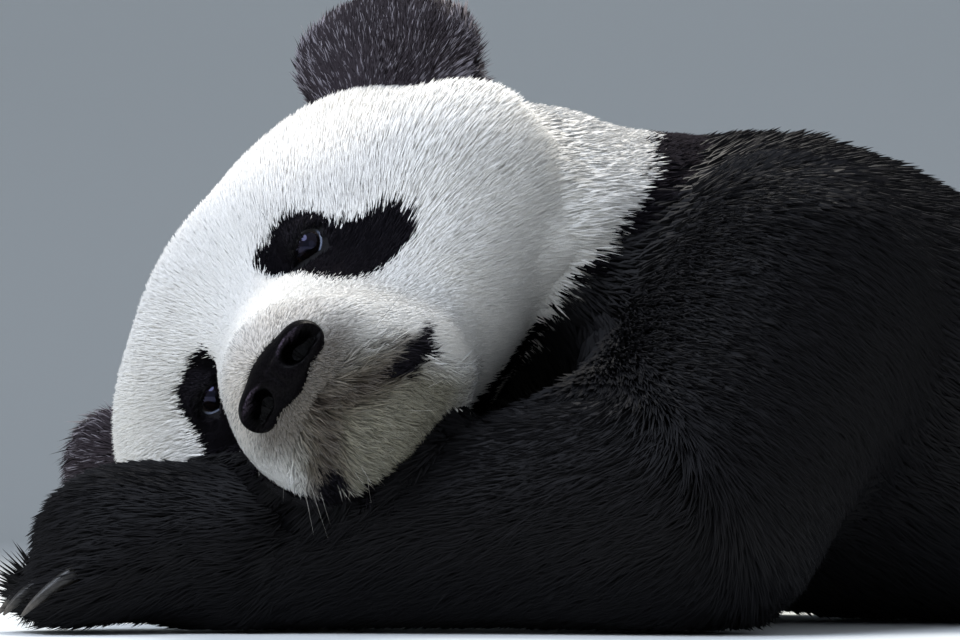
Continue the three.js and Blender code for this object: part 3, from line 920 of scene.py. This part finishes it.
def claw(node, toe_middle):
    """The claw that stands for one solid, which grows away from the middle of its foot."""
    points, _ = faces_of(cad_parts[node].data)
    along = np.linalg.norm(points - toe_middle, axis=1)
    tip = points[along.argmax()]
    far = np.linalg.norm(points - tip, axis=1)
    root = points[far > 0.7 * far.max()].mean(0)
    belly = (root + tip) / 2 + np.array((0, 0, claw_arch))
    root = root + (root - belly) * claw_bed
    t = np.linspace(0, 1, claw_rings)[:, None]
    spine = root * (1 - t) ** 2 + 2 * belly * t * (1 - t) + tip * t**2
    heading = unit(np.gradient(spine, axis=0))
    side_way = unit(np.cross(heading, (0, 0, 1)))
    up_way = np.cross(side_way, heading)
    radius = claw_tip_radius + (claw_base_radius - claw_tip_radius) * (1 - t) ** 0.75
    turn = np.linspace(0, 2 * math.pi, claw_sides, endpoint=False)[None, :, None]
    ring = np.cos(turn) * side_way[:, None] * claw_flatness + np.sin(turn) * up_way[:, None]
    points = (spine[:, None] + ring * radius[:, None]).reshape(-1, 3)
    faces = tube_faces(claw_rings, claw_sides)
    last = (claw_rings - 1) * claw_sides
    faces += [tuple(range(claw_sides))[::-1], tuple(range(last, last + claw_sides))]
    made = piece("panda_" + node.replace("leg", "paw"), points, faces, claw_stuff, "claw", node)
    shade = claw_dark + (claw_worn - claw_dark) * rise(0.55, 1, t)
    paint(made.data, "horn", np.repeat(shade, claw_sides, axis=0))


for leg in ("foreleg_left", "foreleg_right", "hindleg_left", "hindleg_right"):
    foot = leg + ("_paw" if leg.startswith("fore") else "_foot")
    for toe in range(1, 6):
        claw(f"{leg}_claw_{toe}", middle_of(foot))

# ---- The lie of the hair ----------------------------------------------------------------------------
# Hair grows away from the nose over the face, out from the root of each ear, back along the trunk and
# down it, and along each leg towards the toes. Where two parts meet, the ways run into each other.
trunk_way = unit((middle_of("rump") - middle_of("shoulders")) * (1, 1, 0))
foreleg_way, right_foreleg_way = [
    unit((middle_of(f"foreleg_{side}_paw") - middle_of(f"foreleg_{side}_forearm")) * (1, 1, 0.6))
    for side in ("left", "right")
]
down = np.array((0.0, 0.0, -1.0))
set_ways = {
    "neck": trunk_way + 0.15 * down,
    "shoulders": trunk_way + 0.45 * down,
    "loins": trunk_way + 0.5 * down,
    "rump": trunk_way + 0.6 * down,
    "tail": trunk_way * 0.3 + down,
    "foreleg_left_upper": np.array((0.62, -0.2, -0.62)),
    "foreleg_left_forearm": foreleg_way + 0.35 * down,
    "foreleg_left_paw": foreleg_way + 0.15 * down,
    "foreleg_right_upper": np.array((0.6, 0.25, -0.65)),
    "foreleg_right_forearm": right_foreleg_way + 0.35 * down,
    "foreleg_right_paw": right_foreleg_way + 0.15 * down,
}
for side in ("left", "right"):
    set_ways[f"hindleg_{side}_thigh"] = trunk_way * 0.2 + down
    set_ways[f"hindleg_{side}_shank"] = trunk_way + 0.35 * down
    set_ways[f"hindleg_{side}_foot"] = -trunk_way + 0.2 * down

skull_middle = (0, -90, 10)
hair_way = np.zeros_like(skin_points)
for index, name in enumerate(flesh):
    own = part_of == index
    if name == "head":
        fan = skin_points[own] - from_head(nose_at + (0, 6, 4))
    elif name.startswith("ear"):
        ear_middle = middle_of(name)
        ear_root = ear_middle + unit(from_head(skull_middle) - ear_middle) * 0.05
        fan = skin_points[own] - ear_root
    else:
        fan = np.broadcast_to(set_ways[name], (own.sum(), 3))
    hair_way[own] = unit(fan)
skin_normals = unit(relaxed(skin_normals, skin_edges, 2))


def laid_flat(ways, normals):
    """Each way turned down into the surface."""
    return unit(ways - (ways * normals).sum(1, keepdims=True) * normals)


hair_way = laid_flat(hair_way, skin_normals)
for _ in range(6):
    hair_way = laid_flat(relaxed(hair_way, skin_edges, 4), skin_normals)

# ---- Coat -------------------------------------------------------------------------------------------
# The coat is laid in thin locks of many hairs, each rooted in the skin, bent over along the lie of the
# hair and drawn to a point. Locks that grow side by side lean in to one tip. A lock is a closed sliver
# of four points: its root, the two sides of its widest place and its tip.
coat_stuff = {}
for slot_name, colour, gloss in (("coat_white", cream, 0.0), ("coat_black", jet, 0.14)):
    stuff, shader = plain_surface("panda_" + slot_name, colour, 0.6)
    painted(stuff, "hair", 1400, 0.9, 1.08)
    shader.inputs["Specular IOR Level"].default_value = gloss
    if slot_name == "coat_white":
        shader.inputs["Subsurface Weight"].default_value = 0.3
        shader.inputs["Subsurface Radius"].default_value = (1.0, 0.95, 0.9)
        shader.inputs["Subsurface Scale"].default_value = 0.002
    coat_stuff[slot_name] = stuff
lock_faces = np.array([(0, 2, 1), (1, 2, 3), (0, 1, 3), (0, 3, 2)])
widest_at = 0.42
root_sunk, lowest_lock, lowest_spread = 0.0006, 0.0012, 0.002
lock_patch = 0.003
lock_patch_corners = np.array([(0, -0.5), (-0.5, widest_at - 0.5), (0.5, widest_at - 0.5), (0, 0.5)])
lock_bulge = np.array([(0,), (0.12,), (-0.12,), (0,)])
pale_tip = np.array((0.34, 0.31, 0.34))

# Hair takes the colour of the place that it lies over, so the black is looked up ahead of each root.
overhang = 0.014
ahead_points = skin_points + hair_way * overhang
skin_tree = BVHTree.FromPolygons(skin_points.tolist(), skin_triangles.tolist())
ahead_corner = np.array([skin_tree.find_nearest(p)[2] for p in ahead_points.tolist()])
black_ahead = black_share[skin_triangles[ahead_corner]].mean(1)
skin_corners = skin_points[skin_triangles]
skin_areas = np.linalg.norm(
    np.cross(skin_corners[:, 1] - skin_corners[:, 0], skin_corners[:, 2] - skin_corners[:, 0]), axis=1
)
skin_middles = skin_corners.mean(1)
coat_seed = iter(range(100, 200))


def clump_heart(points, size, seed):
    """The middle of the tuft that each root belongs to."""
    table = np.random.default_rng(seed).uniform(0, 1, (32, 32, 32, 3))
    cell = np.floor(points / size).astype(int)
    best, found = np.full(len(points), 1e9), points.copy()
    for step in np.ndindex(3, 3, 3):
        other = cell + step - 1
        heart = (other + table[tuple((other % 32).T)]) * size
        far = np.linalg.norm(points - heart, axis=1)
        closer = far < best
        best[closer], found[closer] = far[closer], heart[closer]
    return found


def unwrapped(points, heart):
    """Places on the unrolled skin, from 0 to 1: a globe round a heart, or a sleeve where there is none."""
    if heart is None:
        spread = points - points.mean(0)
        spread = spread @ np.linalg.svd(spread[:: len(spread) // 2000 + 1], full_matrices=False)[2].T
        along = spread[:, 0]
    else:
        spread = ((points - heart) @ head_axes.T)[:, ::-1]
        along = np.arctan2(spread[:, 0], np.hypot(spread[:, 1], spread[:, 2]))
    round_it = np.arctan2(spread[:, 2], spread[:, 1]) / (2 * math.pi) + 0.5
    return np.stack([round_it, (along - along.min()) / (along.max() - along.min())], 1)


def coat(
    name, wanted, count, length, width, clump=(0.006, 0.45), unrest=0.2, stand=1.0, dark_hair=jet,
    pale_tips=None, slot_name="coat_white", heart=None, root_shade=0.96, tone_spread=(0.95, 1.04),
):
    """One piece of the coat: locks over the skin where wanted, a weight for each triangle, is above 0.

    length and width are in millimetres, alone or one for each point of the skin. clump is the size of
    the tufts and how far their locks lean together. unrest is how far their ways stray from the lie.
    stand is how much of the coat's depth a tip rises to. pale_tips is the share of locks with a pale
    tip, and heart is the middle of the globe on which the bake map is unrolled.
    """
    rng = np.random.default_rng(next(coat_seed))
    reach = np.cumsum(skin_areas * wanted)
    draw = (np.arange(count) + rng.random(count)) / count * reach[-1]
    chosen = np.minimum(np.searchsorted(reach, draw), len(reach) - 1)
    corner = skin_triangles[chosen]
    mix = rng.dirichlet((1, 1, 1), count)

    def at_root(values):
        return (values[corner] * mix.reshape(count, 3, *[1] * (values.ndim - 1))).sum(1)

    root = at_root(skin_points)
    normal = unit(at_root(skin_normals))
    lie = at_root(hair_way) + unrest * (lattice(root, 0.02, 7) + 0.5 * rng.normal(size=(count, 3)))
    lie = laid_flat(lie, normal)
    depth = at_root(coat_depth) / 1000
    long = at_root(np.broadcast_to(length, len(skin_points))) / 1000
    long = long * rng.uniform(0.72, 1.15, count) * (1 + 0.12 * lattice(root, 0.03, 9)[:, 0])
    long *= 1 - 0.5 * at_root(pressed_thin)
    wide = at_root(np.broadcast_to(width, len(skin_points))) / 1000 * rng.uniform(0.7, 1.25, count)
    height = np.minimum(depth * stand * rng.uniform(0.72, 1.05, count), long * 0.92)
    ahead = np.sqrt(long**2 - height**2)
    side = np.cross(normal, lie)
    roll = rng.normal(0, 0.12, count)[:, None]
    flat = side * np.cos(roll) + normal * np.sin(roll)
    clump_size, clump_pull = clump
    lean = (clump_heart(root, clump_size, 11) - root) * clump_pull
    lean -= (lean * normal).sum(1, keepdims=True) * normal
    sway = rng.normal(0, 0.06, count)[:, None] * side * long[:, None]

    def along(t):
        return (
            root
            + lie * (ahead * t)[:, None]
            + normal * (height * np.sin(t * math.pi / 2) ** 0.8)[:, None]
            + lean * t**1.4
            + sway * t * t
        )

    half = flat * (wide / 2)[:, None]
    widest = along(widest_at)
    points = np.stack([root - normal * root_sunk, widest + half, widest - half, along(1.0)], 1)
    points[..., 2] = np.maximum(points[..., 2], lowest_lock + lowest_spread * rng.random((count, 1)))
    faces = (lock_faces[None] + (np.arange(count) * 4)[:, None, None]).reshape(-1, 3)

    mesh = bpy.data.meshes.new(name)
    mesh.vertices.add(count * 4)
    mesh.vertices.foreach_set("co", points.ravel().astype(np.float32))
    mesh.loops.add(len(faces) * 3)
    mesh.loops.foreach_set("vertex_index", faces.ravel().astype(np.int32))
    mesh.polygons.add(len(faces))
    mesh.polygons.foreach_set("loop_start", np.arange(0, len(faces) * 3, 3, dtype=np.int32))
    mesh.update(calc_edges=True)

    shown = root + lie * (0.8 * ahead + rng.normal(0, 0.0018, count))[:, None]
    colour, dark = coat_colour(shown, at_root(black_ahead), at_root(head_pure), rng.normal(0, 1.4, count))
    colour = np.where(dark[:, None], dark_hair, colour) * rng.uniform(*tone_spread, (count, 1))
    # Some of the hairs round the nose are darker.
    flecked = rise(58, 30, np.linalg.norm(to_head(root) - (0, 90, -80), axis=1))
    colour *= np.where(rng.random(count) < 0.3 * flecked, 0.55, 1)[:, None]
    # Each lock is painted darker at its root and a little lighter at its tip, as painted shade deep in the
    # coat.
    shaded_root = np.where(dark, 0.6, root_shade)[:, None]
    middle_tone = colour * (shaded_root + (1 - shaded_root) * widest_at * 1.3)
    tones = np.stack([colour * shaded_root, middle_tone, middle_tone, colour * 1.04], 1)
    if pale_tips is not None:
        lucky = (rng.random(count) < at_root(pale_tips))[:, None]
        tones[:, -1] = np.where(lucky, pale_tip, tones[:, -1])
    paint(mesh, "hair", np.minimum(tones, 0.95).reshape(-1, 3))

    # The bake map holds one small patch for each lock, at its root's place on the unwrapped skin.
    base = unwrapped(root, heart) * (1 - 2 * lock_patch) + lock_patch
    spots = base[:, None] + lock_patch_corners[None] * lock_patch
    unwrap = mesh.uv_layers.new(name="OFBake")
    unwrap.data.foreach_set("uv", spots.reshape(-1, 2)[faces.ravel()].ravel().astype(np.float32))

    # Every lock is shaded as part of the coat's surface, a little rounded from side to side.
    shading = normal[:, None] + flat[:, None] * lock_bulge[None]
    shading[:, 0] -= lie * 0.2
    shading[:, -1] += lie * 0.3
    mesh.shade_smooth()
    mesh.normals_split_custom_set_from_vertices(unit(shading).reshape(-1, 3).astype(np.float32))
    mesh.materials.append(coat_stuff[slot_name])
    made = bpy.data.objects.new(name, mesh)
    bpy.context.collection.objects.link(made)
    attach(made, "root")
    return made


middle_local = to_head(skin_middles)
triangle_part = part_of[skin_triangles[:, 0]]


def on_parts(*names):
    """1 for each triangle of the skin on these parts, and 0 elsewhere."""
    return np.isin(triangle_part, [flesh.index(name) for name in names]).astype(float)


def on_leg(leg):
    return on_parts(*[part for part in legs if part.startswith(leg)])


# Face and head: short, fine and close round the nose and lips, longer over the cheeks and crown. None
# grows on the eyeballs, the lids' rims or the nose pad.
from_nose = np.linalg.norm(head_local - nose_at, axis=1)
face_length = 6 + 14 * rise(50, 220, from_nose) + 6 * rise(70, 130, np.abs(head_local[:, 0]))
face_length += 3 * rise(-104, -118, head_local[:, 2]) * rise(-20, 20, head_local[:, 1])
face_length = np.where(from_eye < 30, face_length * (0.45 + 0.55 * rise(12, 30, from_eye)), face_length)
above_lips = rise(-104, -98, head_local[:, 2] - 0.25 * np.abs(head_local[:, 0]))
face_length *= 1 - 0.5 * rise(14, 3, near_path(head_local, lip_path)) * above_lips
face_length *= 0.6 + 0.4 * rise(2, 14, nose_form(head_local, False))
face_length += 12 * crease[:, 0]
face_width = 0.5 + 0.35 * rise(60, 200, from_nose)
head_heart = from_head((0, -60, -22))

left_half = middle_local[:, 0] > 0
front_half = middle_local[:, 1] > -70
bald = np.zeros(len(skin_triangles), bool)
for side in (1, -1):
    bald |= in_slit(middle_local, side) < 1.1
bald |= nose_form(middle_local, False) < -1.5
bald |= share_of(*legs)[skin_triangles].mean(1) > 0.5
bald |= by_a_leg[skin_triangles].mean(1) > 0.5
to_side, out, crown = np.abs(middle_local[:, 0]), middle_local[:, 1], middle_local[:, 2]
on_chin = (crown < -100) & (out > -45) & (to_side < 46)
on_throat = (crown < -86) & (out < -20) & (to_side < 66) & ~on_chin
head_weight = on_parts("head") * ~bald
middle_from_nose = np.linalg.norm(middle_local - nose_at, axis=1)
head_weight *= 1 + 2.2 * rise(170, 60, middle_from_nose)
above_throat = ~on_chin & ~on_throat
for name, area, count in (
    ("face_left", left_half & front_half, 41000),
    ("face_right", ~left_half & front_half, 28500),
    ("head_left", left_half & ~front_half, 34000),
    ("head_right", ~left_half & ~front_half, 17500),
):
    coat(
        "coat_" + name, head_weight * (area & above_throat), count, face_length, face_width,
        (0.004, 0.3), 0.1, stand=0.9, heart=head_heart,
    )

# The chin's hair is longer and looser, grey at the root and painted darker still there, as painted shade
# between the locks. The throat's is close and more even.
coat(
    "coat_chin", head_weight * on_chin, 11000, face_length + 7, 0.7, (0.008, 0.6), 0.34,
    stand=1.5, heart=head_heart, root_shade=0.25, tone_spread=(0.4, 1.7),
)
coat(
    "coat_throat", head_weight * on_throat, 6500, face_length, 0.7, (0.006, 0.4), 0.18,
    heart=head_heart, root_shade=0.9, tone_spread=(0.86, 1.04),
)

# Ears: soft brown-black hair, long and loose round the rim, where the tips are pale.
ear_black = np.array((0.034, 0.026, 0.031))
for side, count, stand in (("left", 20000, 1.1), ("right", 8000, 0.5)):
    from_ear = np.linalg.norm(skin_points - middle_of("ear_" + side), axis=1)
    rim = rise(0.035, 0.055, from_ear)
    coat(
        "coat_ear_" + side, on_parts("ear_" + side), count, 15 + 9 * rim, 0.6, (0.007, 0.35), 0.3,
        stand=stand, dark_hair=ear_black, pale_tips=0.12 + 0.5 * rim, slot_name="coat_black",
    )

# Neck, trunk and legs: a deep coat, finest on the left foreleg and coarser where it is longest. A fringe
# hangs over the roots of the left paw's claws.
claw_places = np.array([middle_of(f"foreleg_left_claw_{toe}") for toe in range(1, 6)])
near_claws = rise(0.05, 0.02, np.linalg.norm(skin_points[:, None] - claw_places[None], axis=2).min(1))
paw_length = np.where(part_of == flesh.index("foreleg_left_paw"), 24 + 16 * near_claws, 28)
coat("coat_neck", on_parts("neck") * ~bald, 26000, 26, 0.95, (0.006, 0.25), 0.1)
coat("coat_shoulders", on_parts("shoulders"), 32000, 36, 1.3, (0.011, 0.4), slot_name="coat_black")
coat(
    "coat_arm_left", on_parts("foreleg_left_upper"), 31000, 32, 1.2, (0.010, 0.4), slot_name="coat_black"
)
coat(
    "coat_forepaw_left", on_parts("foreleg_left_forearm", "foreleg_left_paw"), 32000, paw_length, 1.1,
    (0.010, 0.45), slot_name="coat_black",
)
coat("coat_foreleg_right", on_leg("foreleg_right"), 12000, 34, 2.6, (0.014, 0.5), slot_name="coat_black")
coat("coat_loins", on_parts("loins"), 22000, 42, 2.4, (0.014, 0.4), 0.15)
coat("coat_rump", on_parts("rump", "tail"), 25000, 42, 2.3, (0.014, 0.4), 0.15)
for side in ("left", "right"):
    leg = "hindleg_" + side
    coat("coat_" + leg, on_leg(leg), 12000, 32, 2.3, (0.012, 0.45), slot_name="coat_black")

# ---- Whiskers ---------------------------------------------------------------------------------------
# A few stiff, thin hairs stand out of the lips, chin, brows and cheeks, some dark and some pale. Each is
# a three-sided rod that curls a little and thins to its tip.
whisker_radius = 0.11
whisker_rings = 7
whisker_root_depth = 3.5
whisker_dark, whisker_pale = np.array((0.02, 0.017, 0.016)), np.array((0.75, 0.72, 0.66))
whisker_beds = (
    # middle of the bed and its half-size, way the hairs point, length, how many, share that are pale
    ((34, 56, -95), (8, 14, 8), (0.8, -0.35, -0.35), 30, 8, 0.5),
    ((20, 46, -124), (14, 14, 2), (0.5, -0.5, -0.8), 16, 5, 0.8),
    ((50, 22, 26), (10, 4, 4), (-0.1, 0.3, 1.0), 24, 3, 0.2),
    ((74, -14, -52), (12, 6, 8), (0.6, -0.1, -0.9), 26, 3, 0.5),
)


def whiskers():
    """All the whiskers as one piece, the same beds on both sides of the face."""
    rng = np.random.default_rng(61)
    points, faces, colours = [], [], []
    t = np.linspace(0, 1, whisker_rings)[:, None]
    for middle, spread, way, length, count, pale_share in whisker_beds:
        for mirror in (1, -1):
            for _ in range(count):
                root = (np.array(middle) + np.array(spread) * rng.uniform(-1, 1, 3)) * (mirror, 1, 1)
                root = drawn_onto_form(root[None], whisker_root_depth)[0]
                heading = unit(np.array(way) * (mirror, 1, 1) + rng.normal(0, 0.22, 3))
                curl = rng.normal(0, 0.18, 3) - (0, 0.1, 0)
                reach = length * rng.uniform(0.6, 1.25)
                spine = root + reach * (heading * t + curl * t * t)
                side_way = unit(np.cross(heading, (0.3, 0.5, 0.8)))
                third = np.cross(heading, side_way)
                ring = np.array([side_way, -0.5 * side_way + 0.87 * third, -0.5 * side_way - 0.87 * third])
                thick = whisker_radius * (1 - 0.85 * t)
                start = len(points) * whisker_rings * 3
                points.append((spine[:, None] + ring[None] * thick[:, None]).reshape(-1, 3))
                faces += [[start + corner for corner in face] for face in tube_faces(whisker_rings, 3)]
                last = start + (whisker_rings - 1) * 3
                faces += [(start + 2, start + 1, start), (last, last + 1, last + 2)]
                shade = whisker_pale if rng.random() < pale_share else whisker_dark
                colours.append(np.broadcast_to(shade, (whisker_rings * 3, 3)))
    made = piece("panda_whiskers", from_head(np.concatenate(points)), faces, whisker_stuff, "coat_white")
    paint(made.data, "bristle", np.concatenate(colours))


whisker_stuff, _ = plain_surface("whisker", whisker_pale, 0.4)
painted(whisker_stuff, "bristle", 300, 0.8, 1.2)
whiskers()
